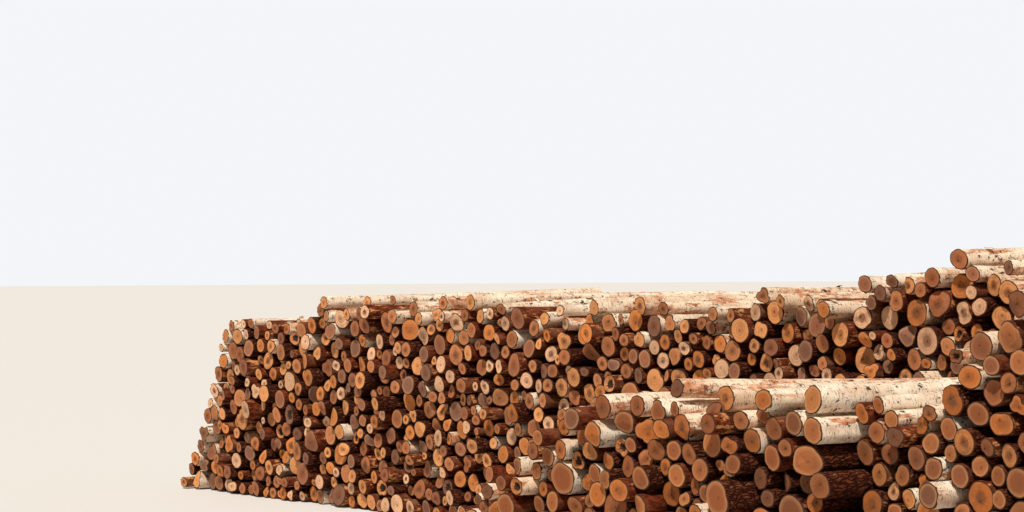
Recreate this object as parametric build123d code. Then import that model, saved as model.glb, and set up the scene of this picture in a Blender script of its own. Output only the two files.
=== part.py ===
from build123d import *
import math
import os
import random

# Logs, in millimetres
log_length = 4050
length_spread = 30
mean_diameter = 217
diameter_spread = 45
smallest_diameter = 118
largest_diameter = 330
seat_gap = 0.3

# Rear row: long and tall, with a lower shoulder at its left end
rear_length = 17500
rear_height = 2640
rear_right_height = 3170
rear_rise_length = 4200
rear_rise_from_end = 6500
shoulder_length = 3350
shoulder_height = 2440

# Front row: shorter and lower, laid end to end against the rear row's face
front_length = 10100
front_height = 2000
front_right_height = 2790
front_rise_length = 700
front_rise_from_end = 3400
front_past_rear = 3650
front_left_slope = 30

# Row ends, crests and sawn ends
end_slope = 62
crest_wave = 50
crest_wave_length = 2300
crest_roughness = 55
end_scatter = 46
proud_share = 0.08
proud_scatter = 160
end_scatter_limit = 340
row_looseness = 22
tier_height = 250

# Long straight logs laid last, a little askew, along the crests
rear_top_logs = 17
front_top_logs = 10
top_log_diameter = 205
top_log_diameter_spread = 30
top_log_taper = 8
top_log_skew = 150
top_log_clearance = 25

# How patiently the logs are laid
gauge_sizes = 7
most_misses = 12
rest_marks = 24
roll_steps = 5
slope_halvings = 40
seed = 11


class Log:
    """A round stem lying along +Y, given by its axis at the row's face and at the row's back."""

    def __init__(self, face, back, radii, start, length):
        self.face = face
        self.back = back
        self.radii = radii
        self.start = start
        self.length = length
        self.lean = math.hypot(1, (back[0] - face[0]) / log_length)

    def at(self, y):
        """Axis and radius at a depth y behind the row's face."""
        t = y / log_length
        x = self.face[0] + (self.back[0] - self.face[0]) * t
        z = self.face[1] + (self.back[1] - self.face[1]) * t
        return x, z, self.radii[0] + (self.radii[1] - self.radii[0]) * t

    def solid(self, depth):
        """The stem between its two sawn ends, in a row whose face lies at the given depth."""
        x0, z0, r0 = self.at(self.start)
        x1, z1, r1 = self.at(self.start + self.length)
        foot = Vector(x0, depth + self.start, z0)
        plane = Plane(origin=foot, z_dir=Vector(x1, depth + self.start + self.length, z1) - foot)
        if r0 == r1:
            return Solid.make_cylinder(r0, self.length, plane)
        return Solid.make_cone(r0, r1, self.length, plane)


class Row:
    """Logs laid one by one, each in the lowest groove that takes it under the row's crest."""

    def __init__(self, name, crest, first_x, last_x, behind=None):
        self.name = name
        self.rng = random.Random(f"{name} {seed}")
        self.crest = crest
        self.first_x = first_x
        self.last_x = last_x
        self.behind = behind
        self.depth = 0.0 if behind is None else -log_length
        self.logs = []
        self.top_logs = []
        self.cells = {}
        self.grooves = set()
        self.lay_first_tier()
        self.fill_to_crest()

    def random_radius(self):
        share = diameter_spread / mean_diameter
        diameter = mean_diameter * math.exp(self.rng.gauss(-share * share / 2, share))
        return min(max(diameter, smallest_diameter), largest_diameter) / 2

    def near(self, x, z, cells=1):
        """Logs within one cell of a place, or within a few."""
        column, layer = int(x // largest_diameter), int(z // largest_diameter)
        for i in range(column - cells, column + cells + 1):
            for k in range(layer - cells, layer + cells + 1):
                yield from self.cells.get((i, k), ())

    def start_of(self, x, z, radius, length):
        """Where a log's front end lies: scattered, or set by the ends it meets in the row behind."""
        proud = self.rng.random() < proud_share
        if self.behind is None:
            scatter = self.rng.gauss(0, proud_scatter if proud else end_scatter)
            return min(max(scatter, -end_scatter_limit), end_scatter_limit)
        met = [end_scatter_limit]
        for other in self.behind.near(x, z, 2):
            ox, oz, oradius = other.at(other.start)
            if math.hypot(x - ox, z - oz) < radius + oradius + seat_gap:
                met.append(other.start)
        back_off = max(self.rng.gauss(0, proud_scatter if proud else row_looseness), 0.0)
        return min(met) - seat_gap - back_off - length - self.depth

    def lay(self, x, z, radius):
        length = log_length + self.rng.uniform(-length_spread, length_spread)
        log = Log((x, z), (x, z), (radius, radius), self.start_of(x, z, radius, length), length)
        for other in self.near(x, z, 2):
            apart = math.dist(log.face, other.face)
            if apart < radius + other.radii[0] + largest_diameter:
                self.grooves.add((log, other) if x < other.face[0] else (other, log))
        self.logs.append(log)
        key = (int(x // largest_diameter), int(z // largest_diameter))
        self.cells.setdefault(key, []).append(log)

    def lay_first_tier(self):
        radius = self.random_radius()
        x = self.first_x + radius
        while x + radius < self.last_x:
            self.lay(x, radius, radius)
            next_radius = self.random_radius()
            x += 2 * math.sqrt(radius * next_radius) + seat_gap
            radius = next_radius

    def seat(self, groove, radius):
        """Centre of a log of this radius lying in a groove, or None where it falls through."""
        left, right = groove
        (ax, az), (bx, bz) = left.face, right.face
        reach_a = left.radii[0] + radius + seat_gap
        reach_b = right.radii[0] + radius + seat_gap
        apart = math.hypot(bx - ax, bz - az)
        if apart >= reach_a + reach_b:
            return None
        along = (reach_a**2 - reach_b**2 + apart**2) / (2 * apart)
        height = math.sqrt(max(reach_a**2 - along**2, 0.0))
        x = ax + (along * (bx - ax) - height * (bz - az)) / apart
        z = az + (along * (bz - az) + height * (bx - ax)) / apart
        return (x, z) if ax < x < bx else None

    def is_free(self, place, radius, groove):
        return all(
            math.dist(place, other.face) >= radius + other.radii[0] + seat_gap
            for other in self.near(*place)
            if other not in groove
        )

    def is_open(self, groove):
        """Whether a groove still takes a log of any size."""
        for step in range(gauge_sizes):
            diameter = smallest_diameter + (largest_diameter - smallest_diameter) * step / gauge_sizes
            place = self.seat(groove, diameter / 2)
            if place and self.is_free(place, diameter / 2, groove):
                return True
        return False

    def lowest_place(self, radius):
        """The lowest open groove that takes a log of this radius below the crest."""
        top = self.rng.uniform(-crest_roughness, crest_roughness) - radius
        found = []
        for groove in self.grooves:
            place = self.seat(groove, radius)
            if place and place[1] < self.crest(place[0]) + top:
                found.append((place[1], place[0], groove))
        for z, x, groove in sorted(found, key=lambda item: item[:2]):
            if self.is_free((x, z), radius, groove):
                return x, z
            if not self.is_open(groove):
                self.grooves.discard(groove)
        return None

    def fill_to_crest(self):
        misses = 0
        while misses < most_misses:
            radius = self.random_radius()
            place = self.lowest_place(radius)
            if place is None:
                misses += 1
            else:
                self.lay(*place, radius)
                misses = 0

    def resting_line(self, face_x, back_x, radii, start, length):
        """Where a log let down from above lies on two supports: its height at middle, face and back."""
        laid = Log((face_x, 0), (back_x, 0), radii, start, length)
        reach = max(radii) + largest_diameter
        low_x, high_x = min(face_x, back_x) - reach, max(face_x, back_x) + reach
        marks = []
        for other in self.logs + self.top_logs:
            if not low_x < other.face[0] < high_x:
                continue
            first = max(start, other.start)
            last = min(start + length, other.start + other.length)
            for step in range(rest_marks + 1):
                y = first + (last - first) * step / rest_marks
                x, _, radius = laid.at(y)
                other_x, other_z, other_radius = other.at(y)
                across = radius * laid.lean + other_radius * other.lean + seat_gap
                over = radius + other_radius + seat_gap
                if abs(x - other_x) < across:
                    marks.append((y, other_z + over * math.sqrt(1 - ((x - other_x) / across) ** 2)))
        middle = start + length / 2
        low_rise, high_rise = -1.0, 1.0
        for _ in range(slope_halvings):
            rise = (low_rise + high_rise) / 2
            height, y = max((z - rise * (y - middle), y) for y, z in marks)
            if y > middle:
                low_rise = rise
            else:
                high_rise = rise
        at_face = height - rise * middle
        return height, at_face, at_face + rise * log_length

    def lay_top_log(self, x):
        """A tapering log laid askew near x and rolled sideways to where it lies lowest."""
        diameter = self.rng.gauss(top_log_diameter, top_log_diameter_spread)
        loss = top_log_taper * log_length / 1000
        radii = [(diameter + loss / 2) / 2, (diameter - loss / 2) / 2]
        self.rng.shuffle(radii)
        skew = self.rng.gauss(0, top_log_skew) / 2
        tries = []
        for step in range(-roll_steps, roll_steps + 1):
            middle = x + step * mean_diameter / 2 / roll_steps
            line = self.resting_line(middle - skew, middle + skew, radii, -end_scatter_limit, log_length)
            tries.append((*line, middle))
        _, _, back_z, middle = min(tries)
        start = self.start_of(middle + skew, back_z, diameter / 2 + top_log_clearance, log_length)
        start -= top_log_clearance
        _, face_z, back_z = self.resting_line(middle - skew, middle + skew, radii, start, log_length)
        self.top_logs.append(Log((middle - skew, face_z), (middle + skew, back_z), radii, start, log_length))

    def lay_top_logs(self, count, first_x, last_x):
        self.rng = random.Random(f"{self.name} top {seed}")
        for k in range(count):
            share = (k + self.rng.uniform(0.2, 0.8)) / count
            self.lay_top_log(first_x + (last_x - first_x) * share)


def ramp(x, start, length, low, high):
    return low + (high - low) * min(max((x - start) / length, 0.0), 1.0)


def rear_crest(x):
    """Height of the rear row's top edge at a distance x from its left end."""
    height = ramp(x, rear_length - rear_rise_from_end, rear_rise_length, rear_height, rear_right_height)
    if x < shoulder_length:
        height = shoulder_height
    height += crest_wave * math.sin(2 * math.pi * x / crest_wave_length)
    steep = math.tan(math.radians(end_slope))
    return min(height, steep * x + largest_diameter, steep * (rear_length - x) + largest_diameter)


def front_crest(x):
    """Height of the front row's top edge at a distance x from the rear row's left end."""
    height = ramp(x, front_last - front_rise_from_end, front_rise_length, front_height, front_right_height)
    height += crest_wave * math.sin(2 * math.pi * x / crest_wave_length)
    gentle, steep = math.tan(math.radians(front_left_slope)), math.tan(math.radians(end_slope))
    left = gentle * (x - front_first) + largest_diameter
    return min(height, left, steep * (front_last - x) + largest_diameter)


def tiers(row):
    """The row's logs as named tiers counted up from the ground, and those laid last on top."""
    held = {}
    for log in row.logs:
        tier = 1 + int(log.face[1] // tier_height)
        held.setdefault(f"{row.name}_tier_{tier:02d}", []).append(log.solid(row.depth))
    held[f"{row.name}_top_logs"] = [log.solid(row.depth) for log in row.top_logs]
    return held


front_last = rear_length + front_past_rear
front_first = front_last - front_length
rear_row = Row("rear_row", rear_crest, 0.0, rear_length)
rear_row.lay_top_logs(rear_top_logs, shoulder_length, rear_length - rear_right_height / 2)
front_row = Row("front_row", front_crest, front_first, front_last, behind=rear_row)
front_row.lay_top_logs(front_top_logs, front_first + front_height * 2, front_last - front_right_height / 2)
nodes = {**tiers(rear_row), **tiers(front_row)}

boxes = [solid.bounding_box() for solids in nodes.values() for solid in solids]
low = Vector(*(min(getattr(box.min, axis) for box in boxes) for axis in "XYZ"))
high = Vector(*(max(getattr(box.max, axis) for box in boxes) for axis in "XYZ"))
to_origin = Location((-(low.X + high.X) / 2, -(low.Y + high.Y) / 2, -low.Z))

os.makedirs("parts", exist_ok=True)
for name, solids in nodes.items():
    export_step(Compound(children=[solid.moved(to_origin) for solid in solids]), f"parts/{name}.step")
print(len(rear_row.logs), "logs in the rear row,", len(front_row.logs), "in the front row")
print("box", high - low)
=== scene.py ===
import bpy
import math
import numpy as np
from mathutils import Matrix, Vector


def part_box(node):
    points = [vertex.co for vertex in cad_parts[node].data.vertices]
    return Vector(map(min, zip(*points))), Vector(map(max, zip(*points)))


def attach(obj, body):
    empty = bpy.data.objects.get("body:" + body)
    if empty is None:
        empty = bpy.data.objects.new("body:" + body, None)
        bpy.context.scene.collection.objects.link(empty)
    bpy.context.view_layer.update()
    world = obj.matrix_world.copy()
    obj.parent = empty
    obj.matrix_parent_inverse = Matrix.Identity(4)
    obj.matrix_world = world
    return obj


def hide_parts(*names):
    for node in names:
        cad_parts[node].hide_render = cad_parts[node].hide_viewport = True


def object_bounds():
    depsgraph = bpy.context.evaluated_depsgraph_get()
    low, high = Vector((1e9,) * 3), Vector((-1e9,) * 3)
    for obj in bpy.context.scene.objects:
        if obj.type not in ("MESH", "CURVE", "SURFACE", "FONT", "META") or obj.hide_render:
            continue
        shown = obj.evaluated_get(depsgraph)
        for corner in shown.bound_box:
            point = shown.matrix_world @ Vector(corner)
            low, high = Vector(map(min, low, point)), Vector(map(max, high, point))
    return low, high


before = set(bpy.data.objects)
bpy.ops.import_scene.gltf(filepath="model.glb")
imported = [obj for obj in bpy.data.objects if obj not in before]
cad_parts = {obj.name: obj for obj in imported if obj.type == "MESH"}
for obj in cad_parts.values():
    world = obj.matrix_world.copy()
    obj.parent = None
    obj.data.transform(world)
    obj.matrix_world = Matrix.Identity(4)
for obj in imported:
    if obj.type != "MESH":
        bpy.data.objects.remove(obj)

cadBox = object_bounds()
bpy.context.scene.view_settings.view_transform = "Standard"

# Where each log lies

reading = {
    "rimDepth": 0.03,          # metres in from an end that count as its rim
    "looks": (-6, 187, 8),     # degrees of the directions tried, from one side over the top to the other
    "nearest": 0.01,           # metres off from which another log can hide one
    "hides": 0.97,             # share of a log's radius that hides what lies behind it
}


def readLogs(node):            # each log of a tier: its two end centres and their radii
    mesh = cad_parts[node].data
    points = np.empty(len(mesh.vertices) * 3, np.float32)
    mesh.vertices.foreach_get("co", points)
    points, same = np.unique(points.reshape(-1, 3), axis=0, return_inverse=True)
    corners = np.empty(len(mesh.loops), np.int32)
    mesh.loops.foreach_get("vertex_index", corners)
    triangles = same.reshape(-1)[corners].reshape(-1, 3)
    group = list(range(len(points)))

    def top(i):                # the point that stands for all those joined to this one
        while group[i] != i:
            group[i] = group[group[i]]
            i = group[i]
        return i

    for a, b, c in triangles.tolist():
        a, b, c = top(a), top(b), top(c)
        group[b] = group[c] = a
    owner = np.array([top(i) for i in range(len(points))])
    logs = []
    for g in np.unique(owner):
        ring = points[owner == g].astype(float)
        ends = []
        for away in (ring[:, 1] - ring[:, 1].min(), ring[:, 1].max() - ring[:, 1]):
            rim = ring[away < reading["rimDepth"]]
            low, high = rim.min(0), rim.max(0)
            ends.append(((low + high) / 2, float((high[0] - low[0]) / 2)))
        logs.append({"node": node, "ends": ends, "row": node.split("_")[0]})
    return logs


def markOutside(logs):         # a log shows its bark where a line up or sideways from it meets no other
    for row in {log["row"] for log in logs}:
        members = [log for log in logs if log["row"] == row]
        at = np.array([(log["ends"][0][0] + log["ends"][1][0])[[0, 2]] / 2 for log in members])
        radius = np.array([log["ends"][0][1] for log in members])
        opened = np.zeros(len(members), int)
        apart = at[None] - at[:, None]
        for angle in np.radians(np.arange(*reading["looks"])):
            way = np.array([math.cos(angle), math.sin(angle)])
            along = apart @ way
            aside = np.abs(apart @ np.array([-way[1], way[0]]))
            blocked = ((along > reading["nearest"]) & (aside < radius[None] * reading["hides"])).any(1)
            opened += ~blocked
        for log, count in zip(members, opened):
            log["outside"] = bool(count)


# The stem of a log, without its ends

heapSeed = 5                   # another number gives other barks, knots and cuts
rng = np.random.default_rng(heapSeed)

stemShape = {
    "taper": (0.008, 0.04),    # least and most of its radius that a log loses along its length
    "outOfRound": 0.09,
    "ovalSpread": (0.1, 1.6),
    "lumps": 0.045,
    "lumpWaves": 4,
    "bumpsRound": (2, 6),      # fewest of a wave round the log, and one more than the most
    "bumpsAlong": (0.8, 5.2),  # radians of a wave for each metre
    "flared": 0.34,            # share of logs with a lobed butt
    "flareLobes": (1, 4),
    "flareDepth": 0.36,
    "flareSpread": (0.35, 1.0),
    "flareEasing": 1.4,
    "flareLength": 0.7,
    "flareFullAt": 0.12,       # metres of radius from which a flare has its full depth
    "creased": 0.12,           # share of logs with a seam where two stems grew together
    "creaseDepth": (0.09, 0.30),
    "creaseWidth": 0.32,       # radians
    "knots": (2, 6),
    "knotHeight": (0.0027, 0.009),
    "knotWidth": 0.4,          # radians
    "knotLength": 0.07,
    "knotFromEnd": 0.2,
    "bumpyBark": 0.004,
    "mostProud": 0.004,        # metres that bark may stand past the log's radius
    "crook": 0.008,
}


def anyAngle():
    return rng.uniform(0, 6.28)


def angleFrom(theta, turn):    # in radians, to either side of the turn
    return np.angle(np.exp(1j * (theta - turn)))


def stem(log, theta, stations, length):  # its radius and its bark's points at each ring
    shape = stemShape
    radius0, radius1 = (radius for _, radius in log["ends"])
    share = stations / length
    taper = rng.uniform(*shape["taper"])
    slim = 1 - taper * (share if rng.random() < 0.5 else 1 - share)
    radius = (radius0 + (radius1 - radius0) * share) * slim
    oval, turned = shape["outOfRound"] * rng.uniform(*shape["ovalSpread"]) ** 2, rng.uniform(0, 3.14)
    field = np.ones((len(stations), len(theta))) * (1 - oval * (0.5 + 0.5 * np.cos(2 * theta - turned)))
    for _ in range(shape["lumpWaves"]):
        bumps, along = int(rng.integers(*shape["bumpsRound"])), rng.uniform(*shape["bumpsAlong"])
        wave = np.sin(bumps * theta + along * stations[:, None] + anyAngle())
        field -= shape["lumps"] / 2 * (0.5 + 0.5 * wave)
    if rng.random() < shape["flared"]:   # a lobed butt, fading out along the log
        lobes, turned = int(rng.integers(*shape["flareLobes"])), anyAngle()
        fromButt = stations if rng.random() < 0.5 else length - stations
        fade = np.exp(-fromButt / shape["flareLength"])[:, None]
        depth = shape["flareDepth"] * rng.uniform(*shape["flareSpread"]) ** shape["flareEasing"]
        depth *= min(1.0, radius0 / shape["flareFullAt"])
        field -= depth * fade * (0.5 + 0.5 * np.cos(lobes * theta - turned)) ** 2
    if rng.random() < shape["creased"]:  # a seam all along it
        off = np.abs(angleFrom(theta, anyAngle()))
        field -= rng.uniform(*shape["creaseDepth"]) * np.exp(-off / shape["creaseWidth"])
    skin = radius[:, None] * field
    if log["outside"]:
        for _ in range(rng.integers(*shape["knots"])):  # swellings over cut branches
            at = rng.uniform(shape["knotFromEnd"], length - shape["knotFromEnd"])
            off = angleFrom(theta, anyAngle()) / shape["knotWidth"]
            bump = np.exp(-off ** 2 - ((stations[:, None] - at) / shape["knotLength"]) ** 2)
            skin += rng.uniform(*shape["knotHeight"]) * bump
        skin -= shape["bumpyBark"] * rng.random(skin.shape)
    skin = np.minimum(skin, radius[:, None] + shape["mostProud"])
    bend = rng.uniform(-shape["crook"], shape["crook"], 2) if log["outside"] else (0.0, 0.0)
    sag = np.sin(math.pi * share)[:, None]
    return radius, skin * np.cos(theta) + bend[0] * sag, skin * np.sin(theta) + bend[1] * sag


# The sawn ends of a log

endShape = {
    "cutTilt": 0.07,           # how far off square the saw went
    "notched": 0.22,           # share of ends with a felling notch
    "notchSlope": (0.25, 0.75),
    "notchFrom": (-0.3, 0.5),  # where the notch starts, in radii from the centre
    "barkSetBack": 0.018,      # most that the bark's edge frays back from the wood
    "barkThickness": 0.013,
    "woodRings": ((1.0, 0.92, False), (0.55, 0.5, True)),  # size, mark for the finish, whether rot sinks it
    "rotted": 0.028,           # share of logs with a rotten heart
    "rotDepth": 0.05,
    "rotEdge": (0.1, 0.5),     # share of that depth at the edge of the heart
}


def sawCut(radius, start, away):  # how far along the log its sawn end lies, for a point of the end
    tilt = rng.normal(0, endShape["cutTilt"], 2)
    notched = rng.random() < endShape["notched"]
    slope = rng.uniform(*endShape["notchSlope"]) if notched else 0.0
    turn, past = anyAngle(), rng.uniform(*endShape["notchFrom"]) * radius

    def along(x, z):
        notch = slope * np.maximum(x * math.cos(turn) + z * math.sin(turn) - past, 0)
        return start + away * (np.hypot(*tilt) * radius + tilt[0] * x + tilt[1] * z + notch)
    return along


def sawnFace(rim, depth, cut, away, rotten):  # points, marks and faces from the bark's edge to the centre
    around = len(rim)
    size = np.linalg.norm(rim, axis=1, keepdims=True)
    wood = rim * (1 - endShape["barkThickness"] / size)
    eaten = away * endShape["rotDepth"] * rotten
    points, marks = [np.column_stack([rim, depth])], [np.ones(around)]
    for share, mark, sinks in endShape["woodRings"]:
        flat = wood * share
        sunk = eaten * sinks * rng.uniform(*endShape["rotEdge"], around)
        points.append(np.column_stack([flat, cut(flat[:, 0], flat[:, 1]) + sunk]))
        marks.append(np.full(around, mark))
    points.append([[0.0, 0.0, float(cut(0.0, 0.0)) + eaten]])
    marks.append([0.0])
    i = np.arange(around)
    j = (i + 1) % around
    faces = []
    for a in (0, around):
        faces += np.stack([a + i, a + j, a + around + j, a + around + i], 1)[:, ::away].tolist()
    faces += np.stack([2 * around + i, 2 * around + j, np.full(around, 3 * around)], 1)[:, ::away].tolist()
    return np.concatenate(points), np.concatenate(marks), faces


# Strips of birch bark that stand off

stripShape = {
    "most": 5,                 # on one log
    "roomAbove": 0.04,         # metres that a log with strips lies below the top of the heap
    "sections": 6,
    "width": (0.03, 0.12),
    "fromEnds": (0.02, 0.2),
    "leaves": (0.2, 2.9),      # where a strip leaves the log, in radians over its upper side
    "reach": (0.4, 1.1),       # radians
    "seat": 0.95,              # share of the log's radius at which it leaves the log
    "lift": (0.0102, 0.034),
    "easing": 1.6,
    "drift": 0.02,
    "narrows": 0.6,
    "thickness": 0.003,
}


def strip(radius, length):     # points and faces of a closed thin strip that curls off round the log
    shape = stripShape
    curl = np.linspace(0, 1, shape["sections"])
    low, high = shape["fromEnds"]
    at, wide, way = rng.uniform(low, length - high), rng.uniform(*shape["width"]), rng.choice((-1, 1))
    turn = rng.uniform(*shape["leaves"]) + way * curl * rng.uniform(*shape["reach"])
    inner = radius.min() * shape["seat"] + rng.uniform(*shape["lift"]) * curl ** shape["easing"]
    outer = inner + shape["thickness"]
    near = at + shape["drift"] * curl * rng.normal()
    far = near + wide * (1 - shape["narrows"] * curl * rng.random())
    corners = []
    for out, along in ((inner, near), (inner, far), (outer, far), (outer, near)):
        corners.append(np.column_stack([out * np.cos(turn), out * np.sin(turn), along]))
    points = np.stack(corners, 1).reshape(-1, 3)
    last = len(points) - 4
    faces = [[0, 1, 2, 3], [last + 3, last + 2, last + 1, last]]
    for a in range(0, last, 4):
        faces += [[a + c, a + c + 4, a + (c + 1) % 4 + 4, a + (c + 1) % 4] for c in range(4)]
    return points, [face[::-1] if way < 0 else face for face in faces]


# A whole log

logRings = {
    "sidesInside": 24,         # facets round a log that lies inside the heap
    "sidesOutside": 25,        # and round one whose bark shows
    "stationsInside": (0.0, 0.06, 0.40),  # metres in from each sawn end
    "stationsOutside": 31,     # rings along a log whose bark shows
    "rimStation": 0.03,        # and one more, this far in from each end
    "cutGap": 0.002,           # least distance of a ring from the sawn end
    "pithOff": 0.09,           # how far the pith usually lies off centre, in radii
    "oldest": 0.92,            # age of the most weathered sound log; a rotten one has 1
    "woodBlock": 60,           # metres of the pattern that logs are cut from, so that no two match
}


def addPart(skin, points, radial, faces, finish):  # faces count from the part's own first point
    first = sum(len(part) for part in skin["points"])
    skin["points"].append(points)
    skin["radial"].append(radial)
    skin["faces"] += [[first + i for i in face] for face in faces]
    skin["finish"] += [finish] * len(faces)


def logSkin(log):              # its points and faces, and what its finishes read at each point
    rings = logRings
    (front, radius0), (back, _) = log["ends"]
    length = float(np.linalg.norm(back - front))
    axis = (back - front) / length
    side = np.cross(axis, (0.0, 0.0, 1.0))
    side /= np.linalg.norm(side)
    up = np.cross(side, axis)
    if log["outside"]:
        around, stations = rings["sidesOutside"], np.linspace(0, length, rings["stationsOutside"])
        stations = np.sort(np.append(stations, [rings["rimStation"], length - rings["rimStation"]]))
    else:
        near = np.array(rings["stationsInside"])
        around, stations = rings["sidesInside"], np.concatenate([near, length - near[::-1]])
    theta = np.arange(around) * 2 * math.pi / around + rng.uniform(0, 1)
    radius, across, high = stem(log, theta, stations, length)

    along = np.repeat(stations[:, None], around, 1)
    ends = ((0, 0.0, 1), (-1, length, -1))  # ring, place along the log, way into the log
    cuts = []
    for ring, start, away in ends:
        cuts.append(sawCut(float(radius[ring]), start, away))
        frayed = endShape["barkSetBack"] * rng.uniform(0, 1, around) ** 2
        along[ring] = cuts[-1](across[ring], high[ring]) + away * frayed
    low, top = along[0].max() + rings["cutGap"], along[-1].min() - rings["cutGap"]
    along[1:-1] = np.clip(along[1:-1], low, top)

    skin = {"points": [], "radial": [], "faces": [], "finish": []}
    i = np.arange(around)
    j = (i + 1) % around
    a = np.arange(len(stations) - 1)[:, None] * around
    faces = np.stack([a + i, a + around + i, a + around + j, a + j], -1).reshape(-1, 4).tolist()
    bark = np.stack([across, high, along], -1).reshape(-1, 3)
    addPart(skin, bark, np.ones(len(bark)), faces, log["bark"])
    for (ring, _, away), cut in zip(ends, cuts):
        rim = np.stack([across[ring], high[ring]], -1)
        addPart(skin, *sawnFace(rim, along[ring], cut, away, log["rotten"]), 0)
    isLow = front[2] + radius0 < cadBox[1].z - stripShape["roomAbove"]
    if log["outside"] and log["bark"] == 1 and isLow:
        for _ in range(rng.integers(0, stripShape["most"] + 1)):
            points, faces = strip(radius, length)
            addPart(skin, points, np.ones(len(points)), faces, log["bark"])

    local = np.concatenate(skin["points"])
    world = front + local[:, :1] * side + local[:, 1:2] * up + local[:, 2:] * axis
    pith = rng.normal(0, rings["pithOff"], 2) * radius0
    skin["points"] = np.clip(world, cadBox[0], cadBox[1])
    skin["radial"] = np.concatenate(skin["radial"])
    skin["place"] = local + rng.uniform(0, rings["woodBlock"], 3)
    skin["ringed"] = np.column_stack([local[:, :2] - pith, np.zeros(len(local))])
    age = 1.0 if log["rotten"] else rings["oldest"] * rng.random()
    skin["tone"] = np.tile((*log["tone"], age), (len(local), 1))
    return skin


# Nodes that the finishes are made of

def newFinish(name):
    material = bpy.data.materials.new(name)
    material.use_nodes = True
    tree = material.node_tree
    shader = next(n for n in tree.nodes if n.type == "BSDF_PRINCIPLED")
    return material, tree, shader


def put(tree, kind, sockets=(), **settings):  # a node with its settings and what goes into it
    node = tree.nodes.new(kind)
    for name, value in settings.items():
        setattr(node, name, value)
    for name, value in dict(sockets).items():
        if isinstance(value, bpy.types.NodeSocket):
            tree.links.new(value, node.inputs[name])
        else:
            node.inputs[name].default_value = value
    return node


def mark(tree, name, output):
    return put(tree, "ShaderNodeAttribute", attribute_name=name).outputs[output]


def maths(tree, operation, a, b=0.0):
    return put(tree, "ShaderNodeMath", {0: a, 1: b}, operation=operation).outputs[0]


def plus(tree, a, b):
    return maths(tree, "ADD", a, b)


def minus(tree, a, b):
    return maths(tree, "SUBTRACT", a, b)


def times(tree, a, b):
    return maths(tree, "MULTIPLY", a, b)


def vectors(tree, operation, a, b=(0.0, 0.0, 0.0), output=0):
    return put(tree, "ShaderNodeVectorMath", {0: a, 1: b}, operation=operation).outputs[output]


def between(tree, value, low, high, toLow=0.0, toHigh=1.0):
    sockets = {"Value": value, "From Min": low, "From Max": high, "To Min": toLow, "To Max": toHigh}
    return put(tree, "ShaderNodeMapRange", sockets).outputs["Result"]


def cloud(tree, vector, scale, detail, rough=0.55):  # noise; three scales stretch it
    if isinstance(scale, tuple):
        vector, scale = vectors(tree, "MULTIPLY", vector, scale), 1.0
    sockets = {"Vector": vector, "Scale": scale, "Detail": detail, "Roughness": rough}
    return put(tree, "ShaderNodeTexNoise", sockets).outputs[0]


def patches(tree, place, part):  # how much of a part of the finish shows at a place
    return between(tree, cloud(tree, place, *part["cloud"]), *part["shows"])


def blended(tree, share, a, b):
    node = put(tree, "ShaderNodeMix", data_type="RGBA")
    for socket, value in zip((node.inputs[0], node.inputs[6], node.inputs[7]), (share, a, b)):
        if isinstance(value, bpy.types.NodeSocket):
            tree.links.new(value, socket)
        elif isinstance(value, tuple):
            socket.default_value = (*value, 1.0)
        else:
            socket.default_value = value
    return node.outputs[2]


def finished(tree, shader, look, colour, height):
    tree.links.new(colour, shader.inputs["Base Color"])
    shader.inputs["Roughness"].default_value = look["roughness"]
    shader.inputs["Specular IOR Level"].default_value = look["gloss"]
    distance, strength = look["relief"]
    sockets = {"Height": height, "Distance": distance, "Strength": strength}
    tree.links.new(put(tree, "ShaderNodeBump", sockets).outputs[0], shader.inputs["Normal"])


# Sawn wood. "shows", "edge" and "age" each give the two values between which a part of the finish
# comes in, and how much of it there is at each. An edge lies between 0, the centre, and 1, the bark.

sawnWood = {
    "ringWidth": 0.0042,
    "wobble": {"cloud": (13, 2), "shows": (0, 1, -0.007, 0.007)},  # metres that the rings wander
    "ring": {"colour": (0.20, 0.07, 0.02), "shows": (-1, 1, 0, 0.13)},
    "years": {"colour": (0.27, 0.092, 0.028), "scale": 85, "detail": 3, "shows": (0.42, 0.62, 0, 0.5)},
    "heart": {"colour": (0.20, 0.062, 0.02), "wander": 16.0, "edge": (0.30, 0.52, 1, 0),
              "age": (0.1, 0.7, 0, 0.82)},
    "sapwood": {"colour": (0.80, 0.45, 0.20), "edge": (0.62, 0.88, 0, 0.24), "age": (0.8, 0.2, 0, 1)},
    "crack": {"colour": (0.035, 0.015, 0.008), "cloud": (2.6, 1), "width": 0.00045, "start": 0.004,
              "shows": (0.5, 1.4, 0.85, 0), "edge": (0.62, 0.88, 1, 0), "age": (0.35, 0.8)},
    "pith": {"colour": (0.06, 0.022, 0.01), "cloud": (60, 4, 0.65), "shows": (0.3, 0.7, -0.012, 0.012),
             "size": (0.004, 0.013, 1, 0), "age": (0.05, 0.6, 0.4, 0.95)},
    "dirt": {"colour": (0.13, 0.07, 0.04), "cloud": (8, 5, 0.65), "shows": (0.46, 0.72),
             "age": (0, 1, 0.3, 0.85)},
    "rot": {"colour": (0.045, 0.022, 0.012), "wander": 18.0, "edge": (0.46, 0.56, 1, 0),
            "age": (0.95, 0.97)},
    "barkEdge": {"colour": (0.050, 0.019, 0.009), "wander": 2.5, "edge": (0.915, 0.95)},
    "sawMarks": ((260, 22, 22), 2),
    "ringRelief": 0.14,
    "crackRelief": 1.5,
    "relief": (0.0022, 0.7),   # metres, strength
    "roughness": 0.82,
    "gloss": 0.2,
}


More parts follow.
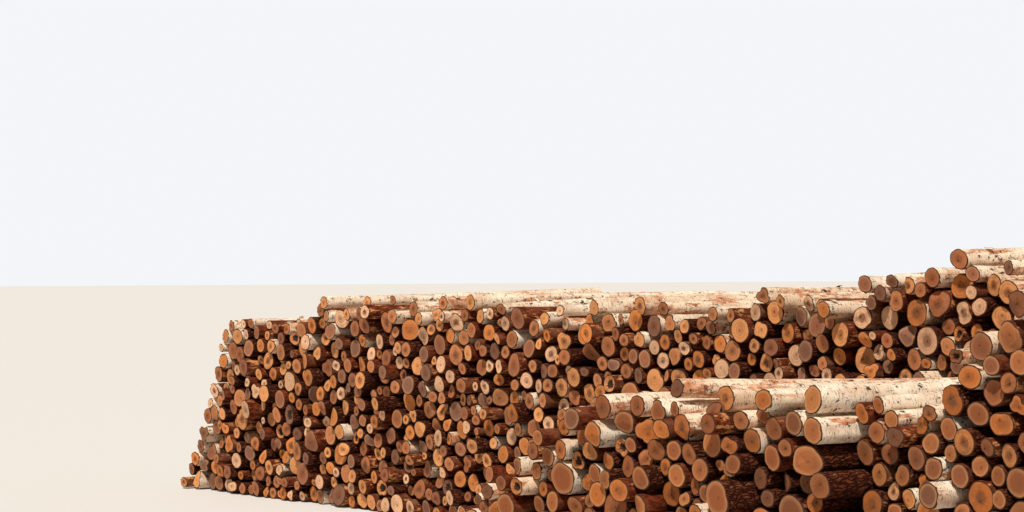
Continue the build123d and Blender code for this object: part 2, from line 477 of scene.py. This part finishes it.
def sawnEnd():
    look = sawnWood
    material, tree, shader = newFinish("sawnEnd")
    place, ringed = mark(tree, "place", "Vector"), mark(tree, "ringed", "Vector")
    radial, tone = mark(tree, "radial", "Fac"), mark(tree, "tone", "Color")
    age = mark(tree, "tone", "Alpha")
    fromPith = vectors(tree, "LENGTH", ringed, output="Value")
    outward = vectors(tree, "NORMALIZE", ringed)
    wobble = patches(tree, place, look["wobble"])

    def inside(part):          # how much of a part shows at this distance from the centre
        edge = plus(tree, radial, times(tree, wobble, part["wander"])) if "wander" in part else radial
        return between(tree, edge, *part["edge"])

    def aged(part):            # how much of a part shows at the log's age
        return between(tree, age, *part["age"])

    grown = plus(tree, fromPith, wobble)
    ring = maths(tree, "SINE", times(tree, grown, 6.283 / look["ringWidth"]))
    colour = blended(tree, between(tree, ring, *look["ring"]["shows"]), tone, look["ring"]["colour"])
    years = look["years"]
    sockets = {"W": grown, "Scale": years["scale"], "Detail": years["detail"]}
    bands = put(tree, "ShaderNodeTexNoise", sockets, noise_dimensions="1D").outputs[0]
    colour = blended(tree, between(tree, bands, *years["shows"]), colour, years["colour"])
    for part in (look["heart"], look["sapwood"]):
        colour = blended(tree, times(tree, inside(part), aged(part)), colour, part["colour"])

    crack = look["crack"]
    split = maths(tree, "ABSOLUTE", minus(tree, cloud(tree, outward, *crack["cloud"]), 0.5))
    narrow = maths(tree, "DIVIDE", crack["width"], plus(tree, fromPith, crack["start"]))
    cracks = between(tree, maths(tree, "DIVIDE", split, narrow), *crack["shows"])
    cracks = times(tree, times(tree, cracks, inside(crack)), aged(crack))
    colour = blended(tree, cracks, colour, crack["colour"])

    pith = look["pith"]
    ragged = plus(tree, fromPith, patches(tree, place, pith))
    dot = times(tree, between(tree, ragged, *pith["size"]), aged(pith))
    colour = blended(tree, dot, colour, pith["colour"])
    dirt, rot, barkEdge = look["dirt"], look["rot"], look["barkEdge"]
    colour = blended(tree, times(tree, patches(tree, place, dirt), aged(dirt)), colour, dirt["colour"])
    colour = blended(tree, times(tree, aged(rot), inside(rot)), colour, rot["colour"])
    colour = blended(tree, inside(barkEdge), colour, barkEdge["colour"])

    height = plus(tree, times(tree, ring, look["ringRelief"]), cloud(tree, place, *look["sawMarks"]))
    height = minus(tree, height, times(tree, cracks, look["crackRelief"]))
    finished(tree, shader, look, colour, height)
    return material


birch = {
    "cream": (0.95, 0.83, 0.66),
    "tan": {"colour": (0.88, 0.66, 0.46), "age": (0.15, 0.95, 0, 0.65)},
    "grey": {"colour": (0.65, 0.43, 0.28), "cloud": ((5, 5, 2), 4), "shows": (0.4, 0.68, 0, 0.9)},
    "torn": {"cloud": ((8, 8, 2.2), 8, 0.72), "limit": 0.60, "withAge": 0.10, "soft": 0.02},
    "tornOrange": (0.50, 0.17, 0.065),
    "tornPink": {"colour": (0.78, 0.46, 0.29), "cloud": (11, 3), "shows": (0.4, 0.62)},
    "lenticel": {"colour": (0.13, 0.075, 0.05), "cloud": ((15, 15, 120), 2), "shows": (0.59, 0.65, 0, 0.85)},
    "black": {"colour": (0.045, 0.030, 0.024), "cloud": ((16, 16, 12), 7, 0.74), "shows": (0.575, 0.61)},
    "patchRelief": 0.8,
    "tornRelief": 0.35,
    "blackRelief": 0.3,
    "relief": (0.006, 0.8),
    "roughness": 0.62,
    "gloss": 0.35,
}


def birchBark():
    look = birch
    material, tree, shader = newFinish("birchBark")
    place, age = mark(tree, "place", "Vector"), mark(tree, "tone", "Alpha")
    tan, grey, torn, pink = look["tan"], look["grey"], look["torn"], look["tornPink"]
    clean = blended(tree, between(tree, age, *tan["age"]), look["cream"], tan["colour"])
    colour = blended(tree, patches(tree, place, grey), clean, grey["colour"])
    peel = cloud(tree, place, *torn["cloud"])
    limit = minus(tree, torn["limit"], times(tree, age, torn["withAge"]))
    gone = between(tree, minus(tree, peel, limit), 0, torn["soft"])
    inner = blended(tree, patches(tree, place, pink), look["tornOrange"], pink["colour"])
    colour = blended(tree, gone, colour, inner)
    colour = blended(tree, patches(tree, place, look["lenticel"]), colour, look["lenticel"]["colour"])
    spots = cloud(tree, place, *look["black"]["cloud"])
    black = between(tree, spots, *look["black"]["shows"])
    colour = blended(tree, black, colour, look["black"]["colour"])
    height = minus(tree, times(tree, spots, look["patchRelief"]), times(tree, gone, look["tornRelief"]))
    height = plus(tree, height, times(tree, black, look["blackRelief"]))
    finished(tree, shader, look, colour, height)
    return material


# Red bark's own colours, darkened further as painted shade for the bark seen in the gaps between logs.
red = {
    "brown": {"colour": (0.21, 0.041, 0.0115), "cloud": ((30, 30, 12), 8, 0.78), "shows": (0.45, 0.57)},
    "umber": (0.060, 0.0092, 0.0028),
    "grey": {"colour": (0.22, 0.10, 0.052), "cloud": ((4, 4, 2), 4), "shows": (0.5, 0.72, 0, 0.8)},
    # bare scraped patches, their share raised partly as painted highlight that stands for lit bark flakes
    "scrapedAndHighlight": {"colour": (0.60, 0.255, 0.10), "cloud": ((15, 15, 5), 8, 0.76), "limit": 0.625,
                "withAge": 0.12, "soft": 0.03},
    "scrapeRelief": 0.3,
    "relief": (0.012, 0.9),
    "roughness": 0.8,
    "gloss": 0.12,
}


def redBark():
    look = red
    material, tree, shader = newFinish("redBark")
    place, age = mark(tree, "place", "Vector"), mark(tree, "tone", "Alpha")
    brown, grey, scrapedAndHighlight = look["brown"], look["grey"], look["scrapedAndHighlight"]
    plates = cloud(tree, place, *brown["cloud"])
    colour = blended(tree, between(tree, plates, *brown["shows"]), look["umber"], brown["colour"])
    colour = blended(tree, patches(tree, place, grey), colour, grey["colour"])
    scrapeAndHighlightCloud = cloud(tree, place, *scrapedAndHighlight["cloud"])
    limit = minus(tree, scrapedAndHighlight["limit"], times(tree, age, scrapedAndHighlight["withAge"]))
    # the light patches: scraped bark, and partly painted highlight
    bareAndHighlight = between(tree, minus(tree, scrapeAndHighlightCloud, limit), 0, scrapedAndHighlight["soft"])
    colour = blended(tree, bareAndHighlight, colour, scrapedAndHighlight["colour"])
    finished(tree, shader, look, colour, minus(tree, plates, times(tree, bareAndHighlight, look["scrapeRelief"])))
    return material


# Dark bark's own colours, darkened further as painted shade for the bark seen in the gaps between logs.
dark = {
    "furrow": (0.021, 0.0033, 0.0012),
    "plates": (34, 34, 7),     # how many to the metre, the last along the log
    "furrowEdge": (0.02, 0.24),
    "crookedness": 0.10,
    "crookedScale": 8.0,
    "ridge": (0.128, 0.029, 0.0105),
    "paleRidge": (0.11, 0.032, 0.014),
    "fine": ((60, 60, 30), 4, 0.6),
    # lichen spots, their share raised partly as painted highlight that stands for lit bark flakes
    "lichenAndHighlight": {"colour": (0.34, 0.15, 0.068), "cloud": (9, 6, 0.74), "shows": (0.56, 0.64, 0, 0.75)},
    "fineRelief": 0.4,
    "relief": (0.014, 1.0),
    "roughness": 0.88,
    "gloss": 0.1,
}


def darkBark():
    look = dark
    material, tree, shader = newFinish("darkBark")
    place = mark(tree, "place", "Vector")
    noise = put(tree, "ShaderNodeTexNoise", {"Vector": place, "Scale": look["crookedScale"]})
    shift = vectors(tree, "MULTIPLY", noise.outputs["Color"], (look["crookedness"],) * 3)
    bent = vectors(tree, "MULTIPLY", vectors(tree, "ADD", place, shift), look["plates"])
    cells = put(tree, "ShaderNodeTexVoronoi", {"Vector": bent, "Scale": 1.0}, feature="DISTANCE_TO_EDGE")
    ridges = between(tree, cells.outputs["Distance"], *look["furrowEdge"])
    fine = cloud(tree, place, *look["fine"])
    plate = blended(tree, fine, look["ridge"], look["paleRidge"])
    colour = blended(tree, ridges, look["furrow"], plate)
    # lichen on the ridges, and partly painted highlight
    spots = times(tree, patches(tree, place, look["lichenAndHighlight"]), ridges)
    colour = blended(tree, spots, colour, look["lichenAndHighlight"]["colour"])
    finished(tree, shader, look, colour, plus(tree, ridges, times(tree, fine, look["fineRelief"])))
    return material


finishes = [sawnEnd(), birchBark(), redBark(), darkBark()]
print("finishes ready")

# What each log is given

barks = {                      # share of each bark inside the heap, where the bark shows, and on top
    "birchBark": (0.08, 0.62, 0.94),
    "redBark": (0.46, 0.33, 0.04),
    "darkBark": (0.46, 0.05, 0.02),
}

# The front row's counts lean to the darker tones, which is painted shade.
endTones = [                   # sawn ends from fresh to weathered: linear colour, how often in each row
    ((0.76, 0.315, 0.098), {"rear": 5, "front": 2}),
    ((0.84, 0.49, 0.245), {"rear": 4, "front": 0.5}),
    ((0.66, 0.21, 0.042), {"rear": 4, "front": 5}),
    ((0.52, 0.19, 0.064), {"rear": 4, "front": 5}),
    ((0.40, 0.13, 0.046), {"rear": 4, "front": 5}),
    ((0.31, 0.115, 0.054), {"rear": 2, "front": 3}),
    ((0.20, 0.095, 0.056), {"rear": 2, "front": 2}),
]
# Per-row factor on the ends' tone: a colour tint for the rear row, and painted shade that darkens the front
# row's ends.
endTintAndFrontShade = {"rear": (1.05, 1.06, 1.26), "front": (0.71, 0.63, 0.63)}
endSpread = (0.80, 1.2)        # how much darker or brighter a log's ends are than their tone


def pick(shares):
    shares = np.array(shares, float)
    return int(rng.choice(len(shares), p=shares / shares.sum()))


def dressLog(log):             # bark 1 is birch; finish 0 is the sawn ends'
    column = 2 if log["node"].endswith("top_logs") else 1 if log["outside"] else 0
    log["bark"] = 1 + pick([shares[column] for shares in barks.values()])
    colour, _ = endTones[pick([often[log["row"]] for _, often in endTones])]
    # the row's factor: painted shade that darkens the front row's ends, a colour tint for the rear row's
    log["tone"] = np.array(colour) * endTintAndFrontShade[log["row"]] * rng.uniform(*endSpread)
    log["rotten"] = rng.random() < endShape["rotted"]


pointMarks = (                 # what the finishes read at a point
    ("place", "FLOAT_VECTOR", "vector"),    # where it lies in the wood
    ("ringed", "FLOAT_VECTOR", "vector"),   # how it lies from the pith, across the log
    ("radial", "FLOAT", "value"),           # 0 at the centre of an end, 1 on the bark
    ("tone", "FLOAT_COLOR", "color"),       # colour of the log's sawn wood, and its age as alpha
)


def layTier(node, logs):       # all the logs of a tier as one piece that stands for its solids
    skins = [logSkin(log) for log in logs]
    points = [skin["points"] for skin in skins]
    faces, finish, first = [], [], 0
    for skin in skins:
        faces += [[first + i for i in face] for face in skin["faces"]]
        finish += skin["finish"]
        first += len(skin["points"])
    mesh = bpy.data.meshes.new("logs_" + node)
    mesh.from_pydata(np.concatenate(points).tolist(), [], faces)
    for name, kind, field in pointMarks:
        values = np.concatenate([skin[name] for skin in skins]).astype(np.float32)
        mesh.attributes.new(name, kind, "POINT").data.foreach_set(field, values.reshape(-1))
    mesh.polygons.foreach_set("material_index", finish)
    mesh.polygons.foreach_set("use_smooth", [number > 0 for number in finish])
    for material in finishes:
        mesh.materials.append(material)
    mesh.update()
    piece = bpy.data.objects.new("logs_" + node, mesh)
    bpy.context.scene.collection.objects.link(piece)
    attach(piece, "root")
    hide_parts(node)


tiers = {node: readLogs(node) for node in sorted(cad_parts)}
allLogs = [log for logs in tiers.values() for log in logs]
markOutside(allLogs)
for log in allLogs:
    dressLog(log)
print(len(allLogs), "logs read,", sum(log["outside"] for log in allLogs), "show their bark")
for node, logs in tiers.items():
    layTier(node, logs)
print("tiers laid")

# Floor, light and camera

surroundings = {
    "floor": (0.74, 0.73, 0.71),
    "floorSize": 300,          # metres from the middle to each side
    "floorRoughness": 0.9,
    "sky": (0.90, 0.92, 0.94),
    "skyLight": (1.0, 0.89, 0.80),
    "skyStrength": 0.31,
    "sun": 3.75,
    "sunColour": (1.0, 0.95, 0.87),
    "sunFrom": (-38.0, 52.0),  # degrees to the right of straight at the face, and above the horizon
    "sunSoftness": 3.0,
}


def layFloor():
    size = surroundings["floorSize"]
    corners = [(-size, -size, 0), (size, -size, 0), (size, size, 0), (-size, size, 0)]
    mesh = bpy.data.meshes.new("floor")
    mesh.from_pydata(corners, [], [(0, 1, 2, 3)])
    floor = bpy.data.objects.new("floor", mesh)
    bpy.context.scene.collection.objects.link(floor)
    material, _, shader = newFinish("paleFloor")
    shader.inputs["Base Color"].default_value = (*surroundings["floor"], 1)
    shader.inputs["Roughness"].default_value = surroundings["floorRoughness"]
    mesh.materials.append(material)


def lightScene():
    world = bpy.data.worlds.new("paleSky")
    bpy.context.scene.world = world
    world.use_nodes = True
    tree = world.node_tree
    tree.nodes.clear()
    seen = put(tree, "ShaderNodeBackground", {"Color": (*surroundings["sky"], 1), "Strength": 1.0})
    sockets = {"Color": (*surroundings["skyLight"], 1), "Strength": surroundings["skyStrength"]}
    lit = put(tree, "ShaderNodeBackground", sockets)
    ray = put(tree, "ShaderNodeLightPath").outputs["Is Camera Ray"]
    mixed = put(tree, "ShaderNodeMixShader", {0: ray, 1: lit.outputs[0], 2: seen.outputs[0]})
    out = put(tree, "ShaderNodeOutputWorld")
    tree.links.new(mixed.outputs[0], out.inputs["Surface"])
    light = bpy.data.lights.new("sun", "SUN")
    light.energy = surroundings["sun"]
    light.color = surroundings["sunColour"]
    light.angle = math.radians(surroundings["sunSoftness"])
    sun = bpy.data.objects.new("sun", light)
    around, above = (math.radians(v) for v in surroundings["sunFrom"])
    flat = math.cos(above)
    toSun = Vector((-math.sin(around) * flat, -math.cos(around) * flat, math.sin(above)))
    sun.rotation_euler = toSun.to_track_quat("Z", "Y").to_euler()
    bpy.context.scene.collection.objects.link(sun)


camera = {
    "alongFace": 33.0,         # metres from the left end of the rear row
    "inFront": 19.9,           # metres in front of the rear row's face
    "height": 3.2,
    "turn": 52.0,              # degrees to the left of straight at the face
    "tilt": 0.13,
    "lens": 94.9,
    "farthest": 500,
}


def setCamera():
    rear = [log for log in allLogs if log["row"] == "rear"]
    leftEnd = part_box("rear_row_tier_01")[0].x
    face = float(np.mean([log["ends"][0][0][1] for log in rear]))
    data = bpy.data.cameras.new("camera")
    data.lens = camera["lens"]
    data.clip_end = camera["farthest"]
    eye = bpy.data.objects.new("camera", data)
    eye.location = (leftEnd + camera["alongFace"], face - camera["inFront"], camera["height"])
    eye.rotation_euler = (math.radians(90 + camera["tilt"]), 0, math.radians(camera["turn"]))
    bpy.context.scene.collection.objects.link(eye)
    bpy.context.scene.camera = eye


layFloor()
lightScene()
setCamera()
print("floor, light and camera set")
